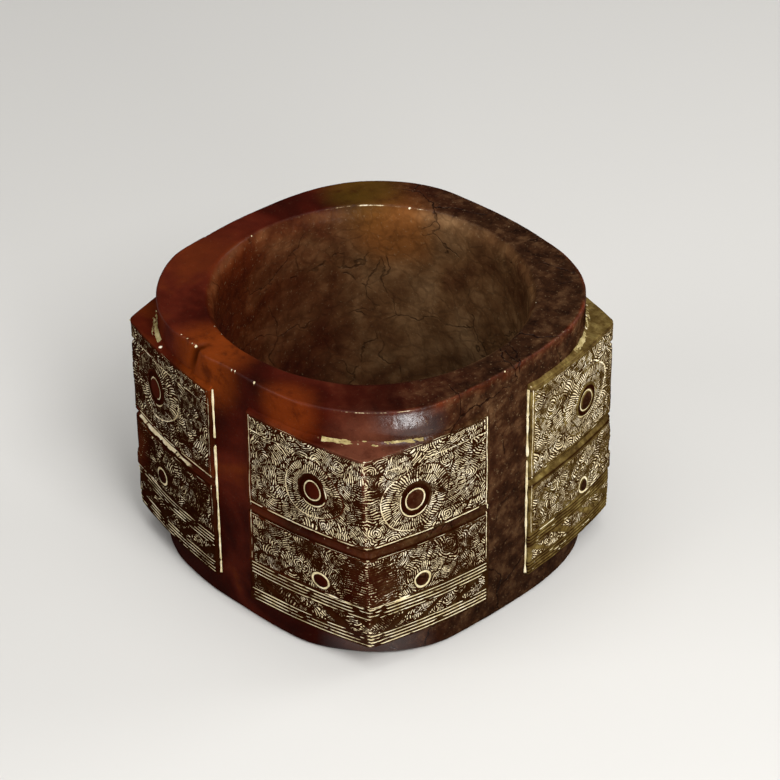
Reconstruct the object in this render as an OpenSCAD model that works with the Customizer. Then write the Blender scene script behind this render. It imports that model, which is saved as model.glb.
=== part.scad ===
// Squat two-tier cong: a stone tube, round inside and a bowed square outside,
// with a worked prism on each corner. Pale deposit fills the lines cut in the prisms.
// The origin is the centre of the foot, +Z runs up the bore, and the plain channels face X and Y.

/* [Tube] */
// Height of the tube
height = 55.5; // [50:0.5:90]
// Width of the tube from one plain channel to the opposite one
channel_span = 74.6; // [72:0.2:90]
// How much wider the collars are from corner to corner
collar_bulge = 7; // [4:0.2:9]
// Radius of the slow curve along each side of the tube
side_curve_r = 88; // [70:1:110]

/* [Bore] */
// Diameter of the straight wall of the bore
bore_d = 60; // [40:0.5:64]
// How far each mouth of the bore flares beyond the straight wall
mouth_flare = 1.3; // [0.2:0.1:2]
// Height of the flare at each mouth
mouth_h = 3.5; // [1:0.5:6]

/* [Corner prisms] */
// How far a prism's edge stands out from the collar above it
prism_reach = 5.7; // [4.5:0.1:9]
// Height of the plain lower collar, where the prisms start
prism_bottom = 5.6; // [3:0.2:8]
// Depth of the plain upper collar, measured down from the rim
upper_collar_h = 6.7; // [4:0.1:10]
// Width of the channels that face front and back
front_channel_w = 9.8; // [6:0.2:14]
// Width of the channels that face left and right
side_channel_w = 11.8; // [6:0.2:14]
// How far a prism stands out of the channel beside it
prism_step = 0.8; // [0.4:0.1:1.5]
// How far each prism face bows out between its two edges
face_bow = 0.8; // [0.3:0.1:1.5]

/* [Tiers] */
// Height of the engraved field of the upper tier
upper_tier_h = 15.4; // [15:0.1:18]
// Height of the groove between the tiers
tier_groove_h = 1.2; // [0.6:0.1:2]
// Depth of the grooves between the tiers and below the top strip
groove_depth = 0.7; // [0.3:0.1:1]
// Height of the strip along the top of each prism
top_strip_h = 4; // [3:0.1:5]
// Width of the notch that the groove below the top strip cuts in each corner
notch_w = 7; // [3:0.5:14]

/* [Nose bars] */
// Height of the bar that wraps each corner at the foot of the lower tier
nose_h = 3; // [1.5:0.1:3.5]
// Width of the bar, seen from the corner
nose_w = 10.6; // [5:0.2:12]
// How far the bar stands out of the face
nose_raise = 0.35; // [0.2:0.05:0.6]

/* [Cut lines] */
// Width of a cut line
line_w = 0.34; // [0.2:0.02:0.45]
// Depth of a cut line
line_depth = 0.25; // [0.15:0.05:0.4]
// Lines in each of the two bands
band_lines = 4; // [2:1:5]
// Distance from one line of a band to the next
line_pitch = 0.75; // [0.6:0.01:0.85]
// Height of the plain strip between the two bands
between_bands_h = 3.6; // [2:0.1:4.2]

/* [Eyes] */
// Distance of the eyes from the prism's edge, along the face
eye_offset = 11.4; // [9:0.1:14]
// Gap between a large eye's lids and the top strip above them
lid_gap = 1.2; // [0.8:0.1:3]
// Outer radius of the line round a large eye's pupil
pupil_r = 2.2; // [1.2:0.1:2.8]
// Outer radius of the line round a large eyeball
eyeball_r = 3.5; // [3.2:0.1:5]
// Outer radius of the line round a large eye's lids
lid_r = 6.7; // [5.5:0.1:6.9]
// Height of the small eyes above the upper band
small_eye_rise = 2.9; // [2.5:0.1:4]
// Outer radius of a small eye's ring
small_ring_r = 1.95; // [1:0.05:2.3]
// Width of the ring of a small eye
small_ring_w = 0.55; // [0.3:0.05:0.8]

/* [Deposit] */
// Width of the crust along the foot of the upper collar
crust_w = 1.1; // [0.4:0.1:2]
// Thickness of the crust and of the bead beside each prism
crust_h = 0.45; // [0.2:0.05:0.6]

/* [Hidden] */
$fn = 96;

stone = "#7b3f20";
deposit = "#d8ca9c";

// Collar outline: a side arc meets a corner arc smoothly where their centres line up.
side_centre = side_curve_r - channel_span / 2;
corner_gap = collar_bulge / 2;
corner_centre = corner_gap * (2 * side_centre - corner_gap)
              / ((2 - sqrt(2)) * side_centre - 2 * corner_gap);
collar_r = channel_span / 2 + corner_gap;
corner_curve_r = collar_r - corner_centre;
join_angle = atan2(corner_centre / sqrt(2), side_centre + corner_centre / sqrt(2));
join = [side_curve_r * cos(join_angle) - side_centre, side_curve_r * sin(join_angle)];

// Heights of what runs round the prisms.
prism_top = height - upper_collar_h;
strip_z = prism_top - top_strip_h;
band_h = (band_lines - 1) * line_pitch + line_w;
lower_band_z = prism_bottom + line_pitch / 2;
upper_band_z = lower_band_z + band_h + between_bands_h;
upper_tier_z = strip_z - upper_tier_h;
tier_z = upper_tier_z - 2 * line_pitch - tier_groove_h / 2;
nose_z = upper_band_z + band_h + line_pitch / 2;
large_eye_z = strip_z - lid_gap - lid_r;
small_eye_z = upper_band_z + band_h + small_eye_rise;

// Each prism face is an arc from the channel edge to the corner edge.
corner_edge = [1, -1] * (collar_r + prism_reach) / sqrt(2);
front_edge = [front_channel_w / 2, -channel_span / 2 - prism_step];
side_edge = [channel_span / 2 + prism_step, -side_channel_w / 2];
far = 2 * channel_span;
past = line_pitch;

function arc_r(a, b) = (pow(norm(b - a) / 2, 2) + pow(face_bow, 2)) / (2 * face_bow);
function right_of(a, b) = [b.y - a.y, a.x - b.x] / norm(b - a);
function arc_centre(a, b) = (a + b) / 2 - right_of(a, b) * (arc_r(a, b) - face_bow);
function angle_of(a, b) = atan2(b.y - a.y, b.x - a.x);

// The same thing on all four corners.
module on_corners() {
    for (x = [0, 1], y = [0, 1]) mirror([x, 0, 0]) mirror([0, y, 0]) children();
}

// Outline of the tube and its collars.
module tube_plan() {
    intersection() {
        intersection_for (a = [0:90:270]) rotate(a)
            translate([-side_centre, 0]) circle(side_curve_r, $fn = 720);
        rotate(45) square(sqrt(2) * (join.x + join.y), center = true);
    }
    for (a = [45:90:315]) rotate(a) translate([corner_centre, 0]) circle(corner_curve_r);
}

// Outline of one prism, with its two faces moved in by inset.
module prism_plan(inset = 0) {
    intersection() {
        translate(arc_centre(front_edge, corner_edge))
            circle(arc_r(front_edge, corner_edge) - inset, $fn = 720);
        translate(arc_centre(corner_edge, side_edge))
            circle(arc_r(corner_edge, side_edge) - inset, $fn = 720);
        translate([front_edge.x, side_edge.y - far]) square(far);
    }
}

// A layer over a prism's two faces, from one depth to another, between two heights.
module face_layer(z, h, inner, outer = 0) {
    translate([0, 0, z]) linear_extrude(h) difference() {
        prism_plan(outer);
        prism_plan(inner);
    }
}

// A slab of a given width over the corner edge, as seen from the corner.
module at_corner(w) rotate(-45) translate([0, -w / 2, 0]) cube([far, w, height]);

// Shapes standing square to both faces of a prism, at a distance from its corner edge.
module on_faces(along, z) {
    for (channel_edge = [front_edge, side_edge])
        translate([corner_edge.x, corner_edge.y, z]) rotate(angle_of(corner_edge, channel_edge))
            translate([along, 0, 0]) rotate([90, 0, 0]) children();
}

module line(z) face_layer(z, line_w, line_depth);

module band(z) for (i = [0:band_lines - 1]) line(z + i * line_pitch);

module ring(outer_r, w) {
    linear_extrude(2 * eye_offset, center = true) difference() {
        circle(outer_r);
        circle(outer_r - w);
    }
}

// Cut lines of one prism. Each is both the groove in the stone and the deposit that fills it.
module border_line() line(prism_top - line_pitch);

module hat_line() difference() {
    line(strip_z);
    at_corner(notch_w);
}

module tier_lines() for (side = [-1, 1])
    line(tier_z + side * (tier_groove_h / 2 + line_pitch) - line_w / 2);

module large_eye_lines() intersection() {
    face_layer(upper_tier_z, strip_z - upper_tier_z, line_depth);
    on_faces(eye_offset, large_eye_z) for (r = [pupil_r, eyeball_r, lid_r]) ring(r, line_w);
}

module small_eye_line() intersection() {
    face_layer(upper_band_z, tier_z - upper_band_z, line_depth);
    on_faces(eye_offset, small_eye_z) ring(small_ring_r, small_ring_w);
}

// One stone: the tube, its prisms, what is cut in them, and the bore.
module jade_tube() color(stone) difference() {
    union() {
        linear_extrude(height) tube_plan();
        on_corners() {
            translate([0, 0, prism_bottom]) linear_extrude(prism_top - prism_bottom) prism_plan();
            intersection() {
                face_layer(nose_z, nose_h, line_depth, -nose_raise);
                at_corner(nose_w);
            }
        }
    }
    on_corners() {
        face_layer(tier_z - tier_groove_h / 2, tier_groove_h, groove_depth);
        intersection() {
            face_layer(strip_z - tier_groove_h / 2, tier_groove_h, groove_depth);
            at_corner(notch_w);
        }
        border_line();
        hat_line();
        tier_lines();
        band(upper_band_z);
        band(lower_band_z);
        large_eye_lines();
        small_eye_line();
    }
    translate([0, 0, -past]) cylinder(h = height + 2 * past, d = bore_d);
    for (end = [0, 1]) translate([0, 0, end * height]) mirror([0, 0, end])
        cylinder(h = mouth_h, d1 = bore_d + 2 * mouth_flare, d2 = bore_d);
}

module border_fill() color(deposit) on_corners() border_line();
module hat_fill() color(deposit) on_corners() hat_line();
module tier_fill() color(deposit) on_corners() tier_lines();
module upper_band_fill() color(deposit) on_corners() band(upper_band_z);
module lower_band_fill() color(deposit) on_corners() band(lower_band_z);
module large_eye_fill() color(deposit) on_corners() large_eye_lines();
module small_eye_fill() color(deposit) on_corners() small_eye_line();

// A bead in the inside corner between the channel and the prism's side.
module edge_fill() color(deposit) on_corners() difference() {
    translate([0, 0, prism_bottom]) {
        translate([front_edge.x - line_w, -channel_span / 2 - crust_h, 0])
            cube([line_w, prism_step, prism_top - prism_bottom]);
        translate([channel_span / 2 + crust_h - prism_step, side_edge.y, 0])
            cube([prism_step, line_w, prism_top - prism_bottom]);
    }
    linear_extrude(height) tube_plan();
}

// A low crust on the shoulder, against the foot of the upper collar.
module shoulder_crust() color(deposit) on_corners() translate([0, 0, prism_top])
    linear_extrude(crust_h) difference() {
        intersection() {
            scale(1 + crust_w / collar_r) tube_plan();
            prism_plan(prism_step + face_bow);
        }
        tube_plan();
    }

jade_tube();
border_fill();
hat_fill();
tier_fill();
upper_band_fill();
lower_band_fill();
large_eye_fill();
small_eye_fill();
edge_fill();
shoulder_crust();
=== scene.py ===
import math
from collections import namedtuple

import bmesh
import bpy
import numpy as np
from mathutils import Matrix, Vector, noise


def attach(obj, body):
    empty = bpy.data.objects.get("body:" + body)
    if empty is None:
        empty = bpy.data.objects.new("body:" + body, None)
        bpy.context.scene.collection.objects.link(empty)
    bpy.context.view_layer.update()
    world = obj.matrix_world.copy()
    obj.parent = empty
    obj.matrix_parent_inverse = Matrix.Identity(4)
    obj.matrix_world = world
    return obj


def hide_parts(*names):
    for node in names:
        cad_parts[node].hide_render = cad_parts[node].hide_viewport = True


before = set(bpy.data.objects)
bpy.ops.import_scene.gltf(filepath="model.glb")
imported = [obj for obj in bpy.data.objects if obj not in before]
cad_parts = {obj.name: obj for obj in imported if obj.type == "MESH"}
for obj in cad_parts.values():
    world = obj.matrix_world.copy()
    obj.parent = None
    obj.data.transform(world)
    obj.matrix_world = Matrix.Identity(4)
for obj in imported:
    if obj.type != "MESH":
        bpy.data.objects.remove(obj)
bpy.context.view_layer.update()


# The tube: one block of red-brown nephrite, drilled from both ends and ground by hand to a
# bowed square, with a plain collar above and below the corner prisms. Both mouths of the
# bore flare to a soft lip, and every edge is rounded by handling.
MM = 0.001
HEIGHT = 55.5
CHANNEL_R, COLLAR_R, SIDE_CURVE_R = 37.3, 40.8, 88.0
BORE_R, LIP_R, MOUTH_H = 30.0, 31.3, 3.5
DRAWN_R = 40.0  # the radius at which the profile is drawn, before it is made square
RIM_ROUND, FOOT_ROUND, FOOT_ROUND_H, LIP_DROP = 0.55, 1.2, 1.0, 0.3

side_centre = SIDE_CURVE_R - CHANNEL_R
corner_gap = COLLAR_R - CHANNEL_R
corner_centre = corner_gap * (2 * side_centre - corner_gap)
corner_centre /= (2 - math.sqrt(2)) * side_centre - 2 * corner_gap
corner_curve_r = COLLAR_R - corner_centre
turn = math.atan2(corner_centre / math.sqrt(2), side_centre + corner_centre / math.sqrt(2))
join_angle = math.atan2(SIDE_CURVE_R * math.sin(turn), SIDE_CURVE_R * math.cos(turn) - side_centre)

# Where the grinding left the outside fuller or flatter: direction, spread in degrees, mm.
FULL_SPOTS = [(-26, 13, 0.75), (207, 11, 0.6), (275, 13, -0.55), (116, 12, 0.35), (-40, 9, 0.2)]

# Directions, in degrees, of the swell below the rim, an old flaw in the collar, the painted highlight
# along the rim in front, and the painted highlight along the lip of the bore at the back.
SWELL_WAY, FLAW_WAY, FRONT_GLINT_WAY, LIP_GLINT_WAY = -34, -102.5, -39, 137


def outline_r(angle):
    """Radius of the collars' outline as drawn: slow arcs on the sides and round ones on the corners."""
    off = np.abs((angle + math.pi / 4) % (math.pi / 2) - math.pi / 4)
    side = np.sqrt(SIDE_CURVE_R**2 - (side_centre * np.sin(off)) ** 2) - side_centre * np.cos(off)
    off = math.pi / 4 - off
    corner = corner_centre * np.cos(off) + np.sqrt(corner_curve_r**2 - (corner_centre * np.sin(off)) ** 2)
    return np.where(off > math.pi / 4 - join_angle, side, corner)


def ground_r(angle):
    """The outline as it was really ground, a little uneven."""
    r = outline_r(angle)
    for direction, spread, amount in FULL_SPOTS:
        away = (np.degrees(angle) - direction + 180) % 360 - 180
        r = r + amount * np.exp(-((away / spread) ** 2))
    return r


def swell(x, y, z, size, seed):
    """Smooth unevenness from -1 to 1, with swellings about size mm across."""
    return noise.noise(Vector((x / size + seed, y / size - seed, z / size + 0.7 * seed)))


def bell(away, spread):
    """1 in the middle, and less and less on both sides."""
    return math.exp(-((away / spread) ** 2))


def peak(away, half):
    """1 in the middle, and straight down to 0 on both sides."""
    return max(0.0, 1 - abs(away) / half)


def straight(points, end, steps):
    """Adds a straight run to end."""
    start = points[-1]
    for i in range(1, steps + 1):
        points.append(tuple(a + (b - a) * i / steps for a, b in zip(start, end)))


profile = [(DRAWN_R, FOOT_ROUND_H)]
straight(profile, (DRAWN_R, HEIGHT - RIM_ROUND), 60)
for i in range(1, 7):
    t = math.pi / 2 * i / 6
    profile.append((DRAWN_R - RIM_ROUND * (1 - math.cos(t)), HEIGHT - RIM_ROUND * (1 - math.sin(t))))
straight(profile, (LIP_R + 0.5, HEIGHT - 0.4 * LIP_DROP), 20)
straight(profile, (LIP_R + 0.1, HEIGHT - LIP_DROP), 3)
for i in range(1, 11):
    t = i / 10
    flare = BORE_R + (LIP_R + 0.1 - BORE_R) * (1 - t) ** 2
    profile.append((flare, HEIGHT - LIP_DROP - (MOUTH_H - LIP_DROP) * t))
straight(profile, (BORE_R, MOUTH_H), 44)
for i in range(1, 9):
    t = i / 8
    profile.append((BORE_R + (LIP_R + 0.1 - BORE_R) * t**2, MOUTH_H - (MOUTH_H - LIP_DROP) * t))
straight(profile, (LIP_R + 0.6, 0.05), 3)
straight(profile, (DRAWN_R - FOOT_ROUND, 0.0), 8)
for i in range(1, 6):
    t = math.pi / 2 * i / 6
    profile.append((DRAWN_R - FOOT_ROUND * (1 - math.sin(t)), FOOT_ROUND_H * (1 - math.cos(t))))

bm = bmesh.new()
ring = [bm.verts.new((r * MM, 0, z * MM)) for r, z in profile]
loop = [bm.edges.new((a, b)) for a, b in zip(ring, ring[1:] + ring[:1])]
bmesh.ops.spin(
    bm, geom=ring + loop, cent=(0, 0, 0), axis=(0, 0, 1), angle=2 * math.pi, steps=540, use_merge=True,
)
bmesh.ops.recalc_face_normals(bm, faces=bm.faces)

tube_mesh = bpy.data.meshes.new("stone_tube")
bm.to_mesh(tube_mesh)
bm.free()
co = np.empty(len(tube_mesh.vertices) * 3)
tube_mesh.vertices.foreach_get("co", co)
co = co.reshape(-1, 3) / MM
angle, drawn, z = np.arctan2(co[:, 1], co[:, 0]), np.hypot(co[:, 0], co[:, 1]), co[:, 2].copy()
share = (drawn - BORE_R) / (DRAWN_R - BORE_R)
r = BORE_R + share * (ground_r(angle) - BORE_R)
pale, warm, stained_and_shaded = np.zeros(len(co)), np.zeros(len(co)), np.zeros(len(co))
for i, (t, q, s, h) in enumerate(zip(angle, r, share, z)):
    x, y, way = q * math.cos(t), q * math.sin(t), math.degrees(t)
    r[i] += 0.16 * swell(x, y, h, 9, 1.3) + 0.05 * swell(x, y, h, 2.2, 4.1)
    if 0.05 < s < 0.94:
        z[i] += (0.10 * swell(x, y, h, 7, 2.6) - 0.06) * (1 if h > 30 else 0.3)

    # In front the collar swells just below the rim.
    if s > 0.97 and h > 44:
        near = min(1.0, max(0.0, (55.2 - h) / 3.6)) if h > 51.6 else max(0.0, (h - 48.6) / 3.0)
        full = (1.0 + 0.12 * swell(x * 2, y * 2, 0, 2.2, 9.9)) * bell(way - SWELL_WAY, 14)
        r[i] += full * near**2 * (3 - 2 * near)

    # At the left an old flaw crosses the collar: a dent, and a soft bulge beside it.
    if s > 0.6 and h > 48.5 and abs(way + 100) < 20:
        off = way - FLAW_WAY + 0.5 * (HEIGHT - h)
        reach = min(1.0, (h - 48.5) / 3.5) * min(1.0, (s - 0.6) / 0.3)
        dent = bell(off, 1.5) * reach
        r[i] += reach * (0.45 * bell(off - 5.5, 4.0) - 0.35 * bell(off + 5, 4.0)) - 0.75 * dent
        z[i] -= 0.5 * dent if h > HEIGHT - 1 else 0.0
        # The dent is darkened, partly as dirt and partly as painted shade.
        stained_and_shaded[i] = 0.8 * dent

    # Small nicks along the outer edge of the rim and the lip of the bore, painted pale as chipped stone and
    # as painted glints; a thin painted highlight along the rim in front and another along the lip at the
    # back;
    # and an edge on the right where the stone shows through warmer.
    outer = peak(s - 0.98, 0.035) * (h > HEIGHT - 1)
    inner = peak(s - 0.14, 0.04) * (h > HEIGHT - 1)
    rare = 0.0 if -172 < way < -82 else 0.22
    chip = max(0.0, swell(x, y, 0, 0.55, 3.3) + 0.3 * swell(x, y, 0, 6, 8.1) - 0.36 - rare)
    r[i] -= 1.0 * chip * outer
    z[i] -= 0.7 * chip * (outer + 0.5 * inner)
    # The two thin pale lines are painted highlights on the rounded edges, not rubbed stone.
    front = peak(s - 0.985, 0.014) * (h > HEIGHT - 0.3) * peak(way - FRONT_GLINT_WAY, 26) ** 0.3
    back = peak(s - 0.14, 0.035) * (h > HEIGHT - 1.2) * min(1.0, max(0.0, (29 - abs(way - LIP_GLINT_WAY)) / 8))
    glint = (0.68 * front + 0.62 * back) * (0.85 + 0.5 * swell(x, y, 0, 1.5, 5.2))
    pale[i] = min(1.0, 6 * chip * outer + 3 * chip * inner + glint)
    if h > HEIGHT - 2.2 and s > 0.9 and -40 < way < 75:
        patch = max(0.0, 0.55 + 1.3 * swell(x, y, h, 3.0, 6.7))
        warm[i] = patch * peak(s - 0.985, 0.05) * peak(HEIGHT - h, 2.2)
z = np.clip(z, 0, HEIGHT)
co = np.stack([r * np.cos(angle), r * np.sin(angle), z], 1)
tube_mesh.vertices.foreach_set("co", (co * MM).ravel())
for name, values in [("pale", pale), ("warm", warm), ("stained_and_shaded", stained_and_shaded)]:
    tube_mesh.attributes.new(name, "FLOAT", "POINT").data.foreach_set("value", values)
tube_mesh.shade_smooth()
stone_tube = bpy.data.objects.new("stone_tube", tube_mesh)
bpy.context.collection.objects.link(stone_tube)


def linear(hex_colour):
    """An sRGB hex colour as the linear colour that the shader takes."""
    parts = [int(hex_colour[i : i + 2], 16) / 255 for i in (1, 3, 5)]
    return tuple(c / 12.92 if c <= 0.04045 else ((c + 0.055) / 1.055) ** 2.4 for c in parts) + (1.0,)


def add(tree, kind, inputs=None, out=0, stops=(), **settings):
    """Adds a shader node with its settings, its inputs as numbers or as other nodes' outputs, and the stops
    of a colour ramp. Returns one of its outputs, or the node itself if out is None."""
    made = tree.nodes.new("ShaderNode" + kind)
    for name, value in settings.items():
        setattr(made, name, value)
    for name, value in (inputs or {}).items():
        if isinstance(value, bpy.types.NodeSocket):
            tree.links.new(value, made.inputs[name])
        else:
            made.inputs[name].default_value = value
    for _ in stops[2:]:
        made.color_ramp.elements.new(0.5)
    for element, (position, colour) in zip(made.color_ramp.elements if stops else (), stops):
        element.position = position
        element.color = linear(colour)
    return made if out is None else made.outputs[out]


# Settings that many nodes share. Input 0 of a MapRange is its value, 1 and 2 the range that it
# comes from, 3 and 4 the range that it goes to. A Mix has its share in 0, its colours in 6 and 7.
SMOOTH = {"interpolation_type": "SMOOTHSTEP"}
TIMES, PLUS, LARGER = {"operation": "MULTIPLY"}, {"operation": "ADD"}, {"operation": "MAXIMUM"}
TIMES_PLUS = {"operation": "MULTIPLY_ADD"}
COLOURS = {"data_type": "RGBA", "out": 2}

# Nephrite, hand ground and worn to a waxy polish after long burial: red-brown with amber
# clouds on one side, greyer and finely pitted on the other, with dark branching cracks.
# To the eye it is deep and dark, dull on the walls, and it shines on the rim and in front.
GREY_SIDE = (0.688, 0.725, 0.0)
jade = bpy.data.materials.new("buried_nephrite")
jade.use_nodes = True
t = jade.node_tree
t.nodes.clear()
where = add(t, "TexCoord", out="Object")
up = add(t, "SeparateXYZ", {0: where}, out=2)

# Clouds 20 mm across, mottling of 3 mm, and grain of 0.6 mm.
swirl = {"Scale": 48.0, "Detail": 3.0, "Roughness": 0.55, "Distortion": 0.7}
cloud = add(t, "TexNoise", {"Vector": where, **swirl})
mottle = add(t, "TexNoise", {"Vector": where, "Scale": 300.0, "Detail": 4.0, "Roughness": 0.65})
grain = add(t, "TexNoise", {"Vector": where, "Scale": 1700.0, "Detail": 3.0, "Roughness": 0.7})
reds = (0.32, "#1e0401"), (0.48, "#340a03"), (0.60, "#48160a"), (0.74, "#5e260c")
greys = (0.30, "#1b0a03"), (0.50, "#321c0e"), (0.72, "#523924")
red = add(t, "ValToRGB", {0: cloud}, stops=reds)
grey = add(t, "ValToRGB", {0: mottle}, stops=greys)
across = add(t, "VectorMath", {0: where, 1: GREY_SIDE}, "Value", operation="DOT_PRODUCT")
sway = add(t, "Math", {0: cloud, 1: 0.06, 2: across}, **TIMES_PLUS)
greyer = add(t, "MapRange", {0: sway, 1: 0.018, 2: 0.056}, **SMOOTH)
stone = add(t, "Mix", {0: greyer, 6: red, 7: grey}, **COLOURS)

# The wall of the bore is browner, deep red on the left and dull on the right.
level = add(t, "VectorMath", {0: where, 1: (1.0, 1.0, 0.0)}, **TIMES)
off_axis = add(t, "VectorMath", {0: level}, "Value", operation="LENGTH")
inside = add(t, "MapRange", {0: off_axis, 1: 0.0316, 2: 0.0306}, **SMOOTH)
both = add(t, "Math", {0: mottle, 1: 0.35, 2: cloud}, **TIMES_PLUS)
red_wall = add(t, "ValToRGB", {0: both}, stops=((0.50, "#36130a"), (0.67, "#461d0c"), (0.86, "#5e3016")))
dull_wall = add(t, "ValToRGB", {0: both}, stops=((0.50, "#482a18"), (0.67, "#604228"), (0.86, "#7e5f40")))
duller = add(t, "MapRange", {0: sway, 1: 0.000, 2: 0.042}, **SMOOTH)
wall = add(t, "Mix", {0: duller, 6: red_wall, 7: dull_wall}, **COLOURS)
stone = add(t, "Mix", {0: inside, 6: stone, 7: wall}, **COLOURS)

# Places of their own colour: an amber window in the bore, an olive one on the far rim, amber and red-brown
# ones along the collar from the left to the front; and a paler ledge in front, partly its own colour and
# partly a painted highlight.
for centre, reach, colour, strength in [
    ((-0.0184, 0.0237, 0.0500), 0.011, "#7c4a20", 0.65), ((-0.028, 0.024, 0.0555), 0.011, "#4c360d", 0.65),
    ((-0.006, -0.035, 0.053), 0.012, "#7a340c", 0.7), ((-0.030, -0.012, 0.0545), 0.013, "#4c1c09", 0.5),
    # The last spot, the paler ledge in front, is partly a painted highlight.
    ((0.016, -0.037, 0.053), 0.009, "#6e2c0a", 0.7), ((0.033, -0.033, 0.0480), 0.012, "#643828", 0.8),
]:
    away = add(t, "VectorMath", {0: where, 1: centre}, "Value", operation="DISTANCE")
    near = add(t, "MapRange", {0: away, 1: reach, 2: 0.3 * reach}, **SMOOTH)
    patchy = add(t, "MapRange", {0: mottle, 1: 0.25, 2: 0.5, 3: 0.45 * strength, 4: strength}, **SMOOTH)
    amount = add(t, "Math", {0: near, 1: patchy}, **TIMES)
    stone = add(t, "Mix", {0: amount, 6: stone, 7: linear(colour)}, **COLOURS)
amount = add(t, "Math", {0: add(t, "Attribute", out="Fac", attribute_name="warm"), 1: 0.55}, **TIMES)
stone = add(t, "Mix", {0: amount, 6: stone, 7: linear("#6c280e")}, **COLOURS)

# Cracks about 0.2 mm wide, here and there, most of them on the grey side, and a net of
# shallow creases 3 mm apart on the grey side and in the bore.
stray = add(t, "TexNoise", {"Vector": where, "Scale": 160.0, "Detail": 3.0}, "Color")
shaken = add(t, "VectorMath", {0: stray, 1: (0.008, 0.008, 0.008), 2: where}, **TIMES_PLUS)
dull_inside = add(t, "Math", {0: inside, 1: 0.8}, **TIMES)
rough_side = add(t, "Math", {0: greyer, 1: dull_inside}, **LARGER)
to_crack = add(t, "TexVoronoi", {"Vector": shaken, "Scale": 62.0}, feature="DISTANCE_TO_EDGE")
cracked = add(t, "MapRange", {0: to_crack, 1: 0.013, 2: 0.004}, **SMOOTH)
for value, low, high in [(cloud, 0.46, 0.54), (rough_side, 0.35, 0.90)]:
    some = add(t, "MapRange", {0: value, 1: low, 2: high}, **SMOOTH)
    cracked = add(t, "Math", {0: cracked, 1: some}, **TIMES)

# The long cracks that cross the rim at the right, run down the channel there and into the bore.
sideways = {1: (0.0022, 0.0022, 0.0022), 2: (-0.0011, -0.0011, -0.0011)}
jog = add(t, "VectorMath", {0: stray, **sideways}, **TIMES_PLUS)
jogged = add(t, "VectorMath", {0: jog, 1: where}, **PLUS)
nearest = None
for points in [
    [
        (32.0, 3.6, 55.5), (37.2, 2.6, 55.4), (37.5, 2.3, 51.9),
        (37.5, -0.2, 43.0), (37.4, -1.9, 41.2), (37.5, -1.4, 36.8),
    ],
    [(37.3, 5.5, 22.5), (37.3, 4.5, 19.7), (37.4, -2.3, 15.2)],
    [(22.7, 32.2, 55.5), (15.5, 30.0, 55.2), (8.7, 28.7, 53.0)],
    [(-29.5, 5.4, 42.3), (-25.2, 16.3, 40.6), (-21.9, 20.5, 36.2)],
    [(-5.8, 29.4, 38.9), (5.4, 29.5, 41.2), (7.2, 29.1, 48.7)],
]:
    for start, end in zip(points, points[1:]):
        start, run = Vector(start) * MM, (Vector(end) - Vector(start)) * MM
        from_start = add(t, "VectorMath", {0: jogged, 1: start}, operation="SUBTRACT")
        unit = run / run.length_squared
        part = add(t, "VectorMath", {0: from_start, 1: unit}, "Value", operation="DOT_PRODUCT")
        foot = add(t, "VectorMath", {0: run, "Scale": add(t, "Clamp", {0: part})}, operation="SCALE")
        off = add(t, "VectorMath", {0: from_start, 1: foot}, "Value", operation="DISTANCE")
        nearest = add(t, "Math", {0: nearest, 1: off}, operation="MINIMUM") if nearest else off
long_crack = add(t, "MapRange", {0: nearest, 1: 0.00026, 2: 0.00008, 4: 0.9}, **SMOOTH)
cracked = add(t, "Math", {0: cracked, 1: long_crack}, **LARGER)
to_crease = add(t, "TexVoronoi", {"Vector": shaken, "Scale": 300.0}, feature="DISTANCE_TO_EDGE")
crease = add(t, "MapRange", {0: to_crease, 1: 0.16, 2: 0.02}, **SMOOTH)
creased = add(t, "Math", {0: crease, 1: rough_side}, **TIMES)
dark = add(t, "Math", {0: creased, 1: 0.22}, **TIMES)
stone = add(t, "Mix", {0: dark, 6: stone, 7: linear("#150702")}, **COLOURS)
dark = add(t, "MapRange", {0: inside, 3: 0.85, 4: 0.5}, **SMOOTH)
dark = add(t, "Math", {0: cracked, 1: dark}, **TIMES)
stone = add(t, "Mix", {0: dark, 6: stone, 7: linear("#100300")}, **COLOURS)

# Fine pale pitting, dense on the grey side and scattered elsewhere, a slow change of tone, and painted
# shade that darkens the stone towards the foot.
pit = add(t, "MapRange", {0: grain, 1: 0.60, 2: 0.72}, **SMOOTH)
dense = add(t, "MapRange", {0: rough_side, 3: 0.06, 4: 0.40}, **SMOOTH)
pitted = add(t, "Math", {0: pit, 1: dense}, **TIMES)
stone = add(t, "Mix", {0: pitted, 6: stone, 7: linear("#8c7354")}, **COLOURS)
tone = add(t, "MapRange", {0: mottle, 1: 0.3, 2: 0.72, 3: 0.88, 4: 1.12}, **SMOOTH)
# Painted shade: the stone is darkened towards the foot, as if lit from above.
lower = add(t, "MapRange", {0: up, 1: 0.0, 2: 0.046, 3: 0.62, 4: 1.0}, **SMOOTH)
shade = add(t, "Math", {0: tone, 1: lower}, **TIMES)
stone = add(t, "VectorMath", {0: stone, "Scale": shade}, operation="SCALE")

# Between the fine cuts the stone is stained dark, and the same dark paints shade along the edges of the
# groove between the tiers and in the flaw's dent. On some faces the stone wears a film of dry silt.
stained_and_shaded = add(t, "Attribute", out="Fac", attribute_name="stained_and_shaded")
amount = add(t, "Math", {0: stained_and_shaded, 1: 0.92}, **TIMES)
stone = add(t, "Mix", {0: amount, 6: stone, 7: linear("#1c0500")}, **COLOURS)
silty = add(t, "Attribute", out="Fac", attribute_name="silt")
silt = add(t, "ValToRGB", {0: mottle}, stops=((0.30, "#403114"), (0.50, "#66532a"), (0.70, "#8c7b46")))
grainy = add(t, "MapRange", {0: grain, 1: 0.28, 2: 0.52, 3: 0.55, 4: 1.0}, **SMOOTH)
stone = add(t, "Mix", {0: add(t, "Math", {0: silty, 1: grainy}, **TIMES), 6: stone, 7: silt}, **COLOURS)

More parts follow.
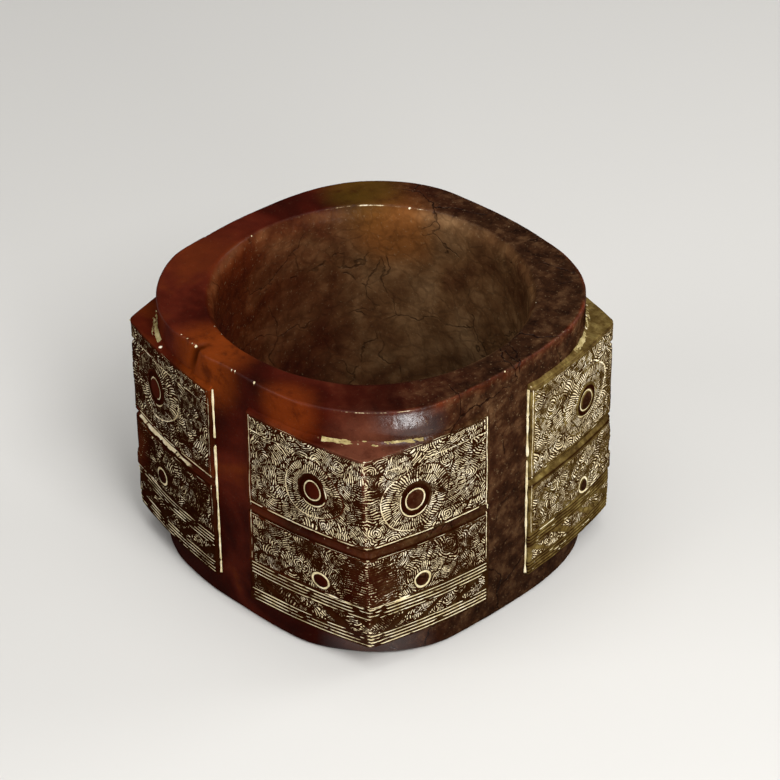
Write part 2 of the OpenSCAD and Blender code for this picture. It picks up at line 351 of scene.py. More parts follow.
# Chalky pale earth, packed in the cuts by burial: matt, cream where it lies thick, with dirtier
# crumbs in it, and golden brown where the stone shows through a thin film.
chalk = add(t, "ValToRGB", {0: mottle}, stops=((0.30, "#b8a67f"), (0.50, "#e1d2ac"), (0.68, "#faf0d8")))
crumbly = add(t, "Math", {0: grain, 1: 0.6, 2: -0.30}, **TIMES_PLUS)
packed = add(t, "Math", {0: add(t, "Attribute", out="Fac", attribute_name="pale"), 1: crumbly}, **PLUS)
thick = add(t, "MapRange", {0: packed, 1: 0.40, 2: 0.70}, **SMOOTH)
chalk = add(t, "Mix", {0: thick, 6: linear("#80603a"), 7: chalk}, **COLOURS)
cover = add(t, "MapRange", {0: packed, 1: 0.34, 2: 0.66}, **SMOOTH)
colour = add(t, "Mix", {0: cover, 6: stone, 7: chalk}, **COLOURS)

# All its shine is the waxy polish, so that is a coat over a matt body. Hands have kept it on
# the rim, on the swell in front and at the foot below it; the walls are duller, and the
# engraved stone, the silt and the earth hardly shine.
polish = add(t, "MapRange", {0: up, 1: 0.0549, 2: 0.0552, 3: 0.03, 4: 0.18}, **SMOOTH)
on_wall = add(t, "MapRange", {0: up, 1: 0.0552, 2: 0.0546}, **SMOOTH)
for centre, reach in [((0.0320, -0.0217, 0.0520), 0.009), ((0.0300, -0.0275, 0.0015), 0.013)]:
    away = add(t, "VectorMath", {0: where, 1: centre}, "Value", operation="DISTANCE")
    near = add(t, "MapRange", {0: away, 1: reach, 2: 0.2 * reach}, **SMOOTH)
    polish = add(t, "Math", {0: polish, 1: add(t, "Math", {0: near, 1: on_wall}, **TIMES)}, **LARGER)
matt = add(t, "Math", {0: cover, 1: silty}, **LARGER)
dry = add(t, "Math", {0: matt, 1: stained_and_shaded}, **LARGER)
kept = add(t, "MapRange", {0: dry, 2: 0.8, 3: 1.0, 4: 0.15}, **SMOOTH)
polish = add(t, "Math", {0: polish, 1: kept}, **TIMES)
rough = add(t, "MapRange", {0: mottle, 1: 0.3, 2: 0.7, 3: 0.20, 4: 0.36}, **SMOOTH)
rough = add(t, "Math", {0: rough_side, 1: 0.22, 2: rough}, **TIMES_PLUS)
rough = add(t, "Math", {0: matt, 1: 0.42, 2: rough}, **TIMES_PLUS)
soft = add(t, "Math", {0: creased, 1: 0.4}, **TIMES)
sunk = add(t, "Math", {0: soft, 1: add(t, "Math", {0: cracked, 1: 2.0}, **TIMES)}, **PLUS)
relief = add(t, "Math", {0: sunk, 1: -1.6, 2: grain}, **TIMES_PLUS)
pits = add(t, "Bump", {"Strength": 0.5, "Distance": 0.00015, "Height": relief})
shader = add(t, "BsdfPrincipled", {
    "Base Color": colour, "Roughness": rough, "IOR": 1.61, "Specular IOR Level": 0.0, "Normal": pits,
    "Coat Weight": polish, "Coat Roughness": 0.27, "Coat IOR": 1.61, "Coat Normal": pits,
})
add(t, "OutputMaterial", {"Surface": shader}, out=None)

stone_tube.data.materials.append(jade)
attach(stone_tube, "root")
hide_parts("jade_tube")


# The corner prisms: raised from the same stone when the four channels were ground down, so
# they carry the engraving. Each has two faces that meet on a worn edge, and each face shows
# half a mask in two tiers, cut freehand with a hard point in lines half a millimetre apart.
PRISM_EDGE_R = 46.5
PRISM_BOTTOM, PRISM_TOP = 5.6, 48.8
FACE_BOW, EDGE_ROUND = 0.8, 0.28
BORDER_Z, STRIP_Z, TIER_Z, UPPER_BAND_Z, LOWER_BAND_Z = 48.3, 44.97, 27.3, 12.335, 6.145
TIER_LINE = 1.35  # from the middle of the groove between the tiers to the line on each side of it
LINE_PITCH, CUT_PITCH, LINE_HALF, FINE_HALF = 0.75, 0.47, 0.12, 0.11
BAND_LINES = [low + i * LINE_PITCH for low in (UPPER_BAND_Z, LOWER_BAND_Z) for i in range(4)]
CHANNEL_LINE = 0.62  # from the channel edge to the line that runs up beside it
NOSE_Z, NOSE_H, NOSE_HALF = 15.13, 3.0, 6.4
LID_R, EYE_RINGS, RING_HALF, EYE_SQUASH = 6.8, (2.03, 3.33), 0.16, (0.96, 1.06)
SMALL_RING, SMALL_RING_HALF = 1.68, 0.25
DARK_RING = 2.68  # radius of the bare dark ring round the pupil
GROOVE_EDGE = 0.95  # from the middle of the groove to the line of painted shade on each side of it
SIDE_DEPTH, TUCK = 1.3, 0.6  # how far a prism's side goes down its channel, and a ledge into the tube
HOLLOW = 1.5  # width of the soft hollow where a ledge meets the collar

# Each face: sign of x and y of its corner, whether it is on the X side, how far its channel
# edge is from the channel's middle, and how far out it stands at the top and at the foot,
# where the large eye is along and up, share of the cuts that still hold earth, how thick the
# film of silt is on the stone between them, seed, where the small eye is along and up.
Face = namedtuple("Face", "sx sy on_side channel top foot eye_a eye_z packed silty seed small_a small_z")
FACES = {
    "near_front": Face(1, -1, False, 6.1, 37.5, 38.05, 11.4, 37.9, 0.84, 0.04, 11, 10.2, 17.65),
    "near_side": Face(1, -1, True, 5.9, 38.05, 38.05, 10.45, 36.95, 0.88, 0.08, 12, 11.9, 17.75),
    "left_front": Face(-1, -1, False, 3.7, 37.9, 38.05, 10.9, 38.9, 0.80, 0.03, 13, 11.0, 18.1),
    "left_side": Face(-1, -1, True, 5.9, 38.0, 38.05, 11.4, 37.3, 0.76, 0.08, 14, 11.1, 17.65),
    "right_side": Face(1, 1, True, 4.9, 38.05, 38.05, 11.0, 37.1, 0.95, 0.90, 15, 10.7, 16.9),
    "right_back": Face(1, 1, False, 4.9, 38.0, 38.05, 11.7, 36.6, 0.9, 0.70, 16, 11.4, 17.6),
    "far_back": Face(-1, 1, False, 4.9, 38.0, 38.05, 11.4, 37.1, 0.85, 0.30, 17, 11.1, 17.7),
    "far_side": Face(-1, 1, True, 5.9, 38.0, 38.05, 11.7, 36.8, 0.80, 0.20, 18, 11.4, 17.6),
}
FILMED = 0.5  # a face with a thicker film than this has silt between all its cuts
CORNER_LEAN = {(1, -1): 0.6}  # how far a corner's foot was ground off to one side, in mm along x and y


def step(low, high, x):
    """0 below low, 1 above high, smooth between."""
    s = np.clip((x - low) / (high - low), 0, 1)
    return s * s * (3 - 2 * s)


def cut(away, half):
    """1 in a cut of that half width whose middle is away 0, with slanting walls."""
    return 1 - step(half - 0.07, half + 0.07, np.abs(away))


def slope(away, flat, wide):
    """1 in a trough of that half width at its bottom, and straight up to 0 over wide mm on both sides."""
    return np.clip(1 - np.clip(np.abs(away) - flat, 0, 9) / wide, 0, 1)


def dome(away, radius):
    """1 in the middle of a round boss, 0 at its foot."""
    return np.sqrt(np.clip(1 - (away / radius) ** 2, 0, 1))


def face_ends(face):
    """The corner edge and the channel edge of a face, in plan and half way up, and its length."""
    f = FACES[face]
    corner = np.array([f.sx, f.sy]) * PRISM_EDGE_R / math.sqrt(2)
    out = (f.top + f.foot) / 2
    edge = np.array([f.sx * out, f.sy * f.channel]) if f.on_side else np.array([f.sx * f.channel, f.sy * out])
    return corner, edge, np.linalg.norm(edge - corner)


def on_face(face, a, z, depth):
    """Points in mm at a distance a from the corner edge, at a height, and so deep in a face."""
    f = FACES[face]
    corner, edge, length = face_ends(face)
    s = a / length
    out = np.array([edge[1] - corner[1], corner[0] - edge[0]]) / length
    out = out if out @ (corner + edge) > 0 else -out
    bow = FACE_BOW * 4 * s * (1 - s)
    x = corner[0] + s * (edge[0] - corner[0]) + out[0] * bow
    y = corner[1] + s * (edge[1] - corner[1]) + out[1] * bow
    foot_share = np.clip(1 - (z - PRISM_BOTTOM) / (PRISM_TOP - PRISM_BOTTOM), 0, 1)
    flare = s * (f.foot - f.top) * (foot_share - 0.5)
    x, y = (x + f.sx * flare, y) if f.on_side else (x, y + f.sy * flare)
    lean = CORNER_LEAN.get((f.sx, f.sy), 0) * foot_share * np.clip(1 - s, 0, 1)
    x, y = x + lean, y + lean
    shrink = 1 - depth / np.hypot(x, y)
    return np.stack([x * shrink, y * shrink, z + 0 * s], -1)


def rolling(x, y, size, seed):
    """Smooth unevenness over a face from -1 to 1, as a sum of a few seeded waves."""
    rng = np.random.default_rng(seed)
    total = 0
    for _ in range(9):
        heading, phase = rng.uniform(0, 2 * math.pi, 2)
        pace = 2 * math.pi / (size * rng.uniform(0.8, 1.9))
        total = total + np.sin((x * math.cos(heading) + y * math.sin(heading)) * pace + phase)
    return total / 4.2


def whorls(a, z, low, high, cell, seed, flat=1.0):
    """A field of fine lines from one height to another, in patches, some wound round their own middle and
    some hatched. Returns a wave, 1 in a cut and -1 between two cuts, and how full of cuts each patch is."""
    rng = np.random.default_rng(seed)
    columns, rows = int(31 / cell) + 3, int((high - low) * flat / cell) + 3
    best, second = np.full(a.shape, 1e3), np.full(a.shape, 1e3)
    phase, full = np.zeros(a.shape), np.zeros(a.shape)
    for i in range(columns):
        for j in range(rows):
            ca = (i - 1 + 0.5 * (j % 2) + rng.uniform(-0.45, 0.45)) * cell
            cz = low + (j - 0.6 + rng.uniform(-0.45, 0.45)) * cell / flat
            lean, size = rng.uniform(0, math.pi), rng.uniform(0.6, 1.5)
            fullness = rng.choice([0.7, 0.9, 1.0, 1.05])
            wound = rng.random() < 0.45
            stretch = rng.uniform(1.0, 1.9) if wound else rng.uniform(1.2, 2.2)
            shift = rng.uniform(-0.4, 0.4, 2) * cell if wound else rng.uniform(-1, 1, 2) * cell * 3
            pitch = CUT_PITCH * rng.uniform(0.88, 1.12)
            turns = rng.choice([-1, 0, 1])
            near = np.flatnonzero((np.abs(a - ca) < 1.7 * cell) & (np.abs(z - cz) < 1.7 * cell / flat))
            na, nz = a[near], z[near]
            reach = np.hypot(na - ca, (nz - cz) * flat) / size
            u, v = na - ca - shift[0], nz - cz - shift[1]
            p = (u * math.cos(lean) + v * math.sin(lean)) * stretch
            q = -u * math.sin(lean) + v * math.cos(lean)
            lines = np.hypot(p, q) / pitch / math.sqrt(stretch)
            if wound:
                lines = lines + np.arctan2(q, p) / (2 * math.pi) * turns
            nearer = reach < best[near]
            second[near] = np.where(nearer, best[near], np.minimum(second[near], reach))
            phase[near] = np.where(nearer, lines, phase[near])
            full[near] = np.where(nearer, fullness, full[near])
            best[near] = np.minimum(best[near], reach)
    joint = step(0.05, 0.26, second - best)
    return np.cos(2 * math.pi * phase) * joint - 0.35 * (1 - joint), full


def engrave(face, a, z):
    """How deep the stone is cut, in mm, and from 0 to 1 how much earth, stain with painted shade, and silt
    lie there.
    """
    f = FACES[face]
    seed, filmed, length = f.seed, float(f.silty > FILMED), face_ends(face)[2]
    to_corner = step(0.0, 1.2, a)
    wander = rolling(a, z, 10, seed + 40) * to_corner
    wa, wz = a + 0.3 * wander, z + 0.25 * rolling(a, z, 12, seed + 50) * to_corner
    ruled = z + 0.10 * rolling(a, 0 * a, 14, seed + 55) * to_corner
    ha, hz = wa + 0.16 * rolling(a, z, 1.7, seed + 51), wz + 0.16 * rolling(a, z, 1.7, seed + 52)

    # The engraved fields: the upper tier, the lower tier, and patches in the strip between the bands.
    upper = step(TIER_Z + 1.75, TIER_Z + 1.9, ruled) * (1 - step(BORDER_Z - 0.45, BORDER_Z - 0.3, ruled))
    lower = step(15.2, 15.5, wz) * (1 - step(TIER_Z - 1.7, TIER_Z - 1.5, ruled))
    strip = 1 - step(UPPER_BAND_Z - 0.45, UPPER_BAND_Z - 0.3, ruled)
    strip = strip * step(LOWER_BAND_Z + 2.6, LOWER_BAND_Z + 2.75, ruled)
    slant = np.sin((a - 1.6 * (z - 10.5)) * 2 * math.pi / 7.5 + seed)
    strip = strip * step(-0.8, -0.45, slant + 0.3 * wander)
    wave, full = np.zeros(a.shape), np.ones(a.shape)
    for part, low, high, cell, own, flat in [
        (ruled > TIER_Z, TIER_Z + 1.7, 48, 3.7, seed, 1.0),
        ((ruled <= TIER_Z) & (ruled > 14), 15, TIER_Z - 1.7, 3.1, seed + 100, 1.0),
        (ruled <= 14, LOWER_BAND_Z + 2.6, UPPER_BAND_Z, 2.6, seed + 200, 1.6),
    ]:
        wave[part], full[part] = whorls(ha[part], hz[part], low, high, cell, own, flat)
    field = np.clip(upper + lower + strip, 0, 1) * (1 - step(length - 1.1, length - 0.95, a))

    # Level cuts across the worn corner edge, beside the eyes and round the nose bar.
    by_edge = 1 - step(1.8, 3.2, a + 0.7 * rolling(z, 0 * z, 3, seed + 60))
    level = np.cos(2 * math.pi * (wz + 0.25 * rolling(a, z, 2.5, seed + 61)) / 0.56) - 0.35
    at_eyes = step(33, 34.5, z) * (1 - step(42, 43.5, z))
    by_nose = (1 - step(4.0, 7.0, a + wander)) * (1 - step(24, 26, z)) * (ruled > 14) * (1 - filmed)
    flat_cuts = np.maximum(by_edge * at_eyes, 0.8 * by_nose)
    wave = wave * (1 - flat_cuts) + level * flat_cuts

    # The large eye: a pupil in a ring, an eyeball, and lids feathered with rays.
    lid_r = LID_R + 0.5 * math.cos(2 * seed)
    u, v = wa - f.eye_a, wz - f.eye_z
    tilt = math.radians(-16)
    p, q = u * math.cos(tilt) + v * math.sin(tilt), -u * math.sin(tilt) + v * math.cos(tilt)
    around = np.arctan2(q, p)
    uneven = 1 - 0.05 * np.sin(2 * around + seed) - 0.04 * np.sin(3 * around + 2 * seed)
    lid = np.hypot(p / 1.05, q / 0.97) * uneven
    eye = np.hypot(u / EYE_SQUASH[0], v / EYE_SQUASH[1])
    rough_lid = lid + 0.35 * rolling(a, z, 2.5, seed + 75)
    outer = step(4.9, 5.0, rough_lid)
    ray = around * (62 + 14 * outer) / (2 * math.pi) + (0.5 - 0.9 * outer) * np.sin(eye * 1.1 + seed)
    ray = ray + 0.35 * rolling(a, z, 2.4, seed + 70)
    in_lid = 1 - step(lid_r - 0.15, lid_r - 0.05, lid)
    ray_wave = np.cos(2 * math.pi * ray) - 1.2 * cut(rough_lid - 4.95, 0.08)
    wave = wave * (1 - in_lid) + ray_wave * in_lid
    full = full * (1 - in_lid) + (1.15 - 0.5 * step(0.2, 1.0, np.cos(around - 0.6 - seed))) * in_lid
    field = np.maximum(field * (1 - cut(lid - lid_r, 0.14)), in_lid) * step(3.5, 3.7, eye)

    # The small eye, a round boss in a ring, and the plain nose bar round the corner.
    small = np.hypot(wa - f.small_a, wz - f.small_z)
    field = field * step(2.0, 2.2, small)
    nose = 1 - step(NOSE_HALF - 1.2, NOSE_HALF + 0.3, a + 0.5 * (z - NOSE_Z - 1.5))
    nose = nose * step(NOSE_Z - 0.1, NOSE_Z + 0.3, z)
    nose = nose * (1 - step(NOSE_Z + NOSE_H - 0.4, NOSE_Z + NOSE_H + 0.1, z))

    # The cuts: of uneven width, broken here and there, and rubbed away round the nose bar.
    handled = 0.8 * (1 - step(2.0, 8.5, a + 1.5 * wander)) * (1 - step(21, 27, z)) * step(14.4, 15.2, z)
    handled = handled * (1 - filmed)
    edge_at = 0.24 + (0.30 - 0.10 * filmed) * rolling(a, z, 2.2, seed + 85)
    broken = step(-0.85, -0.45, rolling(a, z, 1.0, seed + 86))
    wear = step(0.2, 0.8, rolling(a, z, 12, seed + 80)) * 0.30
    stroke = step(edge_at - 0.28, edge_at + 0.28, wave - 0.3 * (1 - full)) * broken
    hatch = stroke * field * (1 - wear) * (1 - 0.12 * handled)
    between = step(0.15 - 0.15 * filmed, 0.75 - 0.25 * filmed, -wave) * field

    # Ruled lines, rings, the line up the channel edge, and the thick line under the nose bar.
    lines = cut(ruled - BORDER_Z, LINE_HALF) + 0.6 * cut(ruled - STRIP_Z, LINE_HALF) * (1 - by_edge)
    lines = lines + cut(ruled - TIER_Z - TIER_LINE, LINE_HALF) + cut(ruled - TIER_Z + TIER_LINE, FINE_HALF)
    for mid in BAND_LINES:
        lines = lines + cut(ruled - mid, LINE_HALF + 0.06 * filmed)
    edge_line = cut(a - length + CHANNEL_LINE + 0.10 * rolling(z, 0 * z, 9, seed + 65), 0.10)
    edge_line = edge_line * step(NOSE_Z, NOSE_Z + 0.5, z) * (1 - step(BORDER_Z, BORDER_Z + 0.1, z))
    under_nose = cut(ruled - NOSE_Z + 0.12, 0.2 + 0.1 * rolling(a, z, 2, seed + 66))
    under_nose = under_nose * (1 - step(9, 13, a + 3 * wander))
    lid_line = cut(lid - lid_r, 0.12) * step(0.1, 0.5, np.sin(around + (-2.2 if f.on_side else 2.1)))
    rings = cut(small - SMALL_RING, SMALL_RING_HALF)
    for radius in EYE_RINGS:
        rings = rings + cut(eye - radius, RING_HALF)
    extra = np.clip(edge_line + under_nose + lid_line, 0, 1)
    depth = np.maximum(0.13 * hatch, 0.25 * np.clip(lines + rings, 0, 1))
    depth = np.maximum(depth, 0.2 * extra)

    # The groove between the tiers slopes down from both lines, and a notch crosses the corner below
    # the top strip.
    groove = slope(z - TIER_Z, 0.25, 0.75)
    notch = slope(z - STRIP_Z + 0.9, 0.3, 0.7)
    depth = np.maximum(depth, 0.75 * np.maximum(groove, notch * (1 - step(1.5, 4.2, a))))
    above_nose = cut(z - NOSE_Z - NOSE_H - 0.25, 0.2) * (1 - step(NOSE_HALF - 0.4, NOSE_HALF + 0.2, a))
    depth = np.maximum(depth, 0.2 * above_nose)

    # Raised forms: the lids swell, the eyeball and the pupil are domed, and the nose bar stands out.
    depth = depth - 0.25 * (1 - step(4.4, 6.8, lid)) - 0.14 * (1 - step(0, 1, np.abs(eye - 2.7) / 0.6))
    depth = depth - 0.22 * dome(eye, 1.9) - 0.22 * dome(small, 1.45)
    depth = depth - 0.35 * nose + 0.07 * rolling(a, z, 6, seed + 90)

    # The corner edge is worn round, wavy and chipped, the same on both faces.
    chips = step(0.35, 1.0, rolling(z * 1.7, 0 * z, 2.3, 7 * f.sx + 11 * f.sy + 50))
    worn = 0.16 + 0.30 * chips + 0.20 * (1 + rolling(z, 0 * z, 7, 5 * f.sx + 3 * f.sy + 20))
    worn = worn * (1.5 if f.sx + f.sy > 0 else 1.0)
    depth = depth + worn * np.clip(1 - a / 1.1, 0, 1) ** 2
    plain = worn + 0.75 * np.maximum(groove, notch) - 0.35 * cut(z - NOSE_Z - NOSE_H / 2, NOSE_H / 2)
    plain = plain + 0.13 * step(-0.15, 0.55, np.cos(2 * math.pi * z / 0.58)) * at_eyes
    for mid in [BORDER_Z, TIER_Z - TIER_LINE, TIER_Z + TIER_LINE] + BAND_LINES:
        plain = plain + 0.25 * cut(z - mid, LINE_HALF)
    shared = 1 - step(0.0, 0.35, a)
    depth = depth * (1 - shared) + plain * shared

    # Earth fills the cuts, and dusts the groove and the bands. Along the corner edge a pale band is painted,
    # partly as wear and earth and partly as a highlight on the rounded edge.
    in_bands = 1 - step(UPPER_BAND_Z + 2.7, UPPER_BAND_Z + 2.8, z)
    in_bands = in_bands * step(LOWER_BAND_Z - 0.4, LOWER_BAND_Z - 0.3, z)
    kept = f.packed + 0.20 * rolling(a, z, 5, seed + 110) + 0.16 * rolling(a, z, 1.6, seed + 120)
    kept = np.clip(kept, 0, 1.1) * (1 - 0.25 * handled) * (1 - 0.12 * (z < TIER_Z))
    # Pale along the corner edge: partly wear and earth, partly a painted highlight.
    rub_and_highlight = 0.42 * np.clip(1 - a / 0.8, 0, 1) * np.clip(0.4 + rolling(z, a, 1.5, seed + 150), 0, 1)
    ruled_earth = 0.45 * lines * (1 - filmed) * step(0.5, 2.5, a)
    earth = np.maximum(hatch * kept, np.clip(extra + ruled_earth, 0, 1) * kept) + rub_and_highlight
    bare = groove + step(BORDER_Z + 0.25, BORDER_Z + 0.35, z) + cut(eye - DARK_RING, 0.42)
    bare = bare + (1 - step(1.8, 1.9, eye)) + (1 - step(1.3, 1.4, small))
    earth = np.clip(earth * (1 - 0.95 * np.clip(bare, 0, 1)), 0, 1)
    laden = 1.0 if face == "left_front" else 0.0  # this one still holds earth all along its groove
    off = z - TIER_Z + (0.25 - 0.15 * laden) * rolling(a, 0 * z, 1.3, seed + 172) + 0.35 * laden
    dust = cut(off, 0.2 + 0.15 * laden) * (1 - laden * step(20, 24, a))
    dust = dust * step(0.45 - 1.3 * laden, 0.9 - 1.3 * laden, rolling(a, 0 * z, 3.2, seed + 170))
    dust = dust * step(-0.4 - laden, 0.5 - laden, rolling(a, z, 0.7, seed + 173))
    earth = np.maximum(earth, (0.6 + 0.25 * laden) * dust)
    dust = filmed * in_bands * (1 - lines) * step(-0.5, 0.7, rolling(a, z, 1.1, seed + 171))
    earth = np.maximum(earth, 0.36 * dust)

    # Stain lies between the cuts, and painted shade darkens a line on each side of the groove between the
    # tiers.
    # On some faces silt coats the stone there too, but for a dark hairline.
    stain_and_shade = np.clip(0.45 + 0.55 * field + 0.4 * in_bands + cut(eye - DARK_RING, 0.5), 0, 1)
    stain_and_shade = stain_and_shade * (1 - step(BORDER_Z + 0.2, BORDER_Z + 0.3, z)) * (1 - 0.7 * np.clip(1 - a / 0.8, 0, 1))
    stain_and_shade = stain_and_shade * (1 - 0.6 * handled) * (1 - 0.7 * groove)
    off = z - TIER_Z
    # Painted shade: a dark line along each edge of the groove between the tiers.
    stain_and_shade = stain_and_shade + cut(off - GROOVE_EDGE, 0.17) + 0.8 * cut(off + GROOVE_EDGE, 0.14)
    stain_and_shade = np.clip(stain_and_shade, 0, 1)
    coat = np.clip(0.75 + 0.3 * rolling(a, z, 4, seed + 130) + 0.2 * rolling(a, z, 1.1, seed + 140), 0, 1)
    hairline = between + filmed * lines + cut(off - GROOVE_EDGE, 0.14) + cut(off + GROOVE_EDGE, 0.14)
    hairline = hairline + cut(eye - DARK_RING, 0.4) + (1 - step(1.6, 1.8, eye)) + (1 - step(1.2, 1.4, small))
    return depth, earth, stain_and_shade, f.silty * coat * (1 - np.clip(hairline, 0, 1))


def engraved_face(face):
    """One face of a prism as a fine relief, with its ledges above and below and its side in the channel."""
    f = FACES[face]
    length = face_ends(face)[2]
    columns, rows, ledge, rounding = 243, 352, 15, 4
    bm = bmesh.new()
    bmesh.ops.create_grid(bm, x_segments=columns, y_segments=rows + 2 * ledge, size=1.0)
    mesh = bpy.data.meshes.new("face_" + face)
    bm.to_mesh(mesh)
    bm.free()
    co = np.empty(len(mesh.vertices) * 3)
    mesh.vertices.foreach_get("co", co)
    co = co.reshape(-1, 3)
    i, j = (co[:, 0] + 1) / 2 * columns, (co[:, 1] + 1) / 2 * (rows + 2 * ledge) - ledge

    # Along: the face, its rounded channel edge, and the side of the prism down into the channel.
    along = i * (length + SIDE_DEPTH) / columns
    bend = np.clip((along - length + EDGE_ROUND) / EDGE_ROUND, 0, math.pi / 2)
    a = np.where(along < length - EDGE_ROUND, along, length - EDGE_ROUND + EDGE_ROUND * np.sin(bend))
    past = along - length + EDGE_ROUND - EDGE_ROUND * math.pi / 2
    sink = EDGE_ROUND * (1 - np.cos(bend)) + np.clip(past, 0, 9)

    # Up: the face between its rounded edges, then a ledge above and below that runs in to the tube.
    z = PRISM_BOTTOM + EDGE_ROUND + (PRISM_TOP - PRISM_BOTTOM - 2 * EDGE_ROUND) * np.clip(j / rows, 0, 1)
    over = np.clip(-j, 0, ledge) + np.clip(j - rows, 0, ledge)
    bend = np.clip(over / rounding, 0, 1) * math.pi / 2
    z = z + np.where(j < 0, -1, 1) * EDGE_ROUND * np.sin(bend)
    sink = sink + EDGE_ROUND * (1 - np.cos(bend))
    flat = on_face(face, a, z, 0 * a)
    standing = np.hypot(flat[:, 0], flat[:, 1]) - ground_r(np.arctan2(flat[:, 1], flat[:, 0]))
    inward = np.clip((over - rounding) / (ledge - rounding), 0, 1) * (standing + TUCK)

    depth, earth, stain_and_shade, silt = engrave(face, a, z)
    fade_out = np.clip(1 - over / 6, 0, 1)
    place = on_face(face, a, z, sink + inward + depth * fade_out)

    # The ledge falls a little outwards, and rises in a soft hollow to meet the collar's foot.
    to_wall = np.clip(standing - inward, 0, 99)
    above, on_ledge = j > rows, over > rounding
    place[:, 2] += on_ledge * 0.10 * rolling(place[:, 0], place[:, 1], 5, 77)
    place[:, 2] -= np.where(above, 0.2 * np.clip(1 - inward / 3, 0, 1), 0)
    place[:, 2] += np.where(above, 1.0, -0.6) * np.clip(1 - to_wall / HOLLOW, 0, 1) ** 2 * on_ledge
    mesh.vertices.foreach_set("co", (place * MM).ravel())
    crumbs = np.clip(rolling(place[:, 0] * 2, place[:, 1] * 2, 3, 78) - 0.75, 0, 1)
    crumbs = crumbs * np.clip(over - rounding, 0, 1) * above
    dusty = np.clip(over - 3, 0, 1) * above * (0.6 if f.silty > FILMED else 0.0)
    for name, values in [
        ("pale", earth * fade_out + crumbs), ("stained_and_shaded", stain_and_shade * fade_out),
        ("silt", np.clip(silt * fade_out + dusty, 0, 1)),
    ]:
        mesh.attributes.new(name, "FLOAT", "POINT").data.foreach_set("value", values)
    if (f.sx * f.sy > 0) != f.on_side:
        mesh.flip_normals()
    mesh.shade_smooth()
    piece = bpy.data.objects.new("face_" + face, mesh)
    bpy.context.collection.objects.link(piece)
    piece.data.materials.append(jade)
    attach(piece, "root")
    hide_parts("jade_tube")


for face in FACES:
    engraved_face(face)


# The earth that fills the ruled lines: packed in by burial and worn level with the stone, so
# it is lost here and there. Each line is its own seam of it, lying in the cut.

# Chalky soil, dried hard. To the eye it is matt, cream in the cuts and dirtier on the
# shoulders, in lumps of 2.4 mm and crumbs of 0.4 mm.
chalky = bpy.data.materials.new("packed_earth")
chalky.use_nodes = True
t = chalky.node_tree
t.nodes.clear()
where = add(t, "TexCoord", out="Object")
lumps = add(t, "TexNoise", {"Vector": where, "Scale": 420.0, "Detail": 4.0, "Roughness": 0.65})
crumb = add(t, "TexNoise", {"Vector": where, "Scale": 2600.0, "Detail": 2.0, "Roughness": 0.6})
clean = add(t, "ValToRGB", {0: lumps}, stops=((0.32, "#a8966a"), (0.50, "#d3c49c"), (0.68, "#eee3c6")))
dusty = add(t, "ValToRGB", {0: lumps}, stops=((0.32, "#7d6d44"), (0.50, "#9c8b5c"), (0.68, "#c2b384")))
on_top = add(t, "MapRange", {0: add(t, "SeparateXYZ", {0: where}, out=2), 1: 0.04846, 2: 0.04850}, **SMOOTH)
colour = add(t, "Mix", {0: on_top, 6: clean, 7: dusty}, **COLOURS)
rise = add(t, "Bump", {"Strength": 0.6, "Distance": 0.00008, "Height": crumb})
dull = add(t, "BsdfPrincipled", {
    "Base Color": colour, "Roughness": 0.92, "Specular IOR Level": 0.1, "Normal": rise,
})
add(t, "OutputMaterial", {"Surface": dull}, out=None)


def packed_earth(name, seams, steps, across, place, node, close=False):
    """One piece of seams of earth. place(seam, along, across, deep) gives points in mm for arrays of numbers:
    along runs from 0 to 1, across from -1 to 1, and deep is 0 on top and 1 below."""
    bm = bmesh.new()
    apart = 10
    for k in range(len(seams)):
        made = bmesh.ops.create_grid(bm, x_segments=steps, y_segments=across, size=1.0)
        bmesh.ops.translate(bm, verts=made["verts"], vec=(apart * k, 0, 0))
    bmesh.ops.solidify(bm, geom=bm.faces[:], thickness=1.0)
    co = np.array([v.co for v in bm.verts])
    which = np.rint(co[:, 0] / apart).astype(int)
    under = (np.abs(co[:, 2]) > 0.5).astype(float)
    points = np.zeros_like(co)
    for k, seam in enumerate(seams):
        own = which == k
        points[own] = place(seam, (co[own, 0] - apart * k + 1) / 2, co[own, 1], under[own])
    for v, point in zip(bm.verts, points * MM):
        v.co = point
    if close:
        bmesh.ops.remove_doubles(bm, verts=bm.verts, dist=1e-6)
    bmesh.ops.recalc_face_normals(bm, faces=bm.faces)
    mesh = bpy.data.meshes.new(name)
    bm.to_mesh(mesh)
    bm.free()
    mesh.shade_smooth()
    piece = bpy.data.objects.new(name, mesh)
    bpy.context.collection.objects.link(piece)
    piece.data.materials.append(chalky)
    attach(piece, "root")
    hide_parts(node)


SEAM_FLOOR = 0.36  # how deep the earth goes below the face, in mm
RING_SEED = 100  # seeds below this are those of the ruled lines


def lost(face, along, z, seed):
    """How far the earth has dropped in a cut, in mm: below the cut's floor where it is lost."""
    f = FACES[face]
    kept = f.packed + 0.5 * rolling(along, z, 4.5, f.seed + seed)
    kept = kept + 0.25 * rolling(along, z, 1.3, f.seed + seed + 9) - 0.5 * (1 - step(1.0, 5.0, along))
    kept = kept - (0.9 if f.silty > FILMED and seed < RING_SEED else 0.0)
    return 0.29 * (1 - step(0.15, 0.75, kept))


def in_line(seam, along, across, deep):
    """A ruled line along a face, from the corner edge or beside it to the channel edge."""
    face, middle, start, half, drop = seam
    a = start + along * (face_ends(face)[2] - CHANNEL_LINE - start)
    ruled = middle - 0.10 * rolling(a, 0 * a, 14, FACES[face].seed + 55) * step(0.0, 1.2, a)
    level = 0.03 + 0.10 * across**2 + lost(face, a, 0 * a + middle, int(middle * 1.7)) + drop
    return on_face(face, a, ruled + across * half, np.where(deep > 0.5, SEAM_FLOOR, level))


